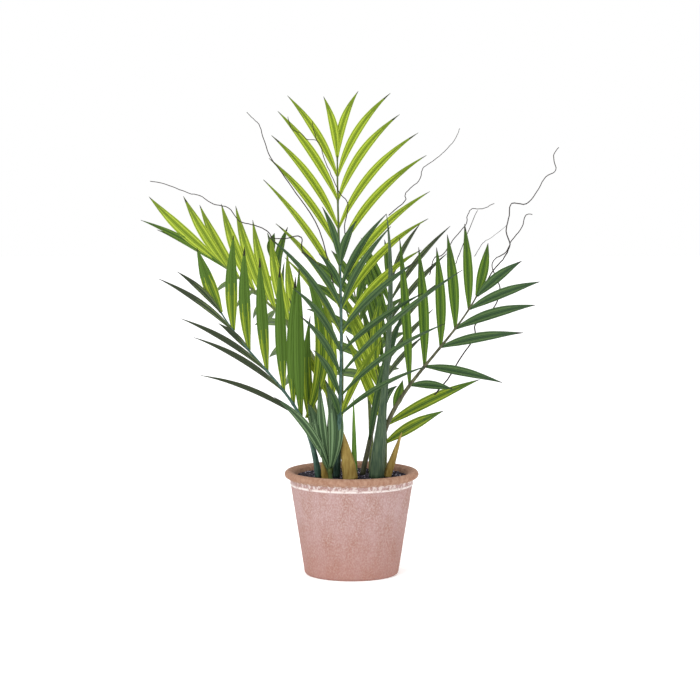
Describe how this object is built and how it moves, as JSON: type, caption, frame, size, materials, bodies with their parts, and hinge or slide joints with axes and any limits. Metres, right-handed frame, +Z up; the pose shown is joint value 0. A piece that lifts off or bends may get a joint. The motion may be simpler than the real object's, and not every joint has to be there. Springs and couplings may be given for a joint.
{
  "type": "artificial potted areca palm",
  "caption": "Artificial areca palm with arching feather fronds on bare stems, standing in a tapered terracotta pot with a rolled rim.",
  "frame": {"origin": "centre of the pot's flat underside", "axes": "+Z up, the front of the plant faces -Y, +X to the right as seen from the front"},
  "size_m": [0.4492, 0.3799, 0.5375],
  "materials": {
    "terracotta": "unglazed fired clay, dusty pink with lime bloom",
    "soil": "matt dark gravelly granules",
    "leaf_yellow_green": "moulded leaf, satin, pleated",
    "leaf_mid_green": "moulded leaf, satin, pleated",
    "leaf_dark_green": "moulded leaf, satin, pleated",
    "leaf_grey_green": "moulded leaf, satin, pleated",
    "stem": "painted, dull olive to grey-green",
    "sheath": "painted, dull ochre"
  },
  "bodies": {
    "root": {"pot": "terracotta", "soil": "soil", "tall_frond": "leaf_yellow_green", "front_frond": "leaf_dark_green", "left_front_frond": "leaf_mid_green", "left_back_frond": "leaf_yellow_green", "right_frond": "leaf_mid_green", "right_back_frond": "leaf_dark_green", "back_left_frond": "leaf_dark_green", "low_right_frond": "leaf_yellow_green", "back_frond": "leaf_mid_green", "low_front_leaves": "leaf_grey_green", "tall_stem": "stem", "front_stem": "stem", "left_front_stem": "stem", "left_back_stem": "stem", "right_stem": "stem", "right_back_stem": "stem", "back_left_stem": "stem", "low_right_stem": "stem", "back_stem": "stem", "low_front_stem": "stem", "centre_sheath": "sheath", "left_sheath": "sheath", "right_sheath": "sheath", "young_leaf": "leaf_yellow_green", "spear_leaf": "stem"}
  },
  "joints": []
}
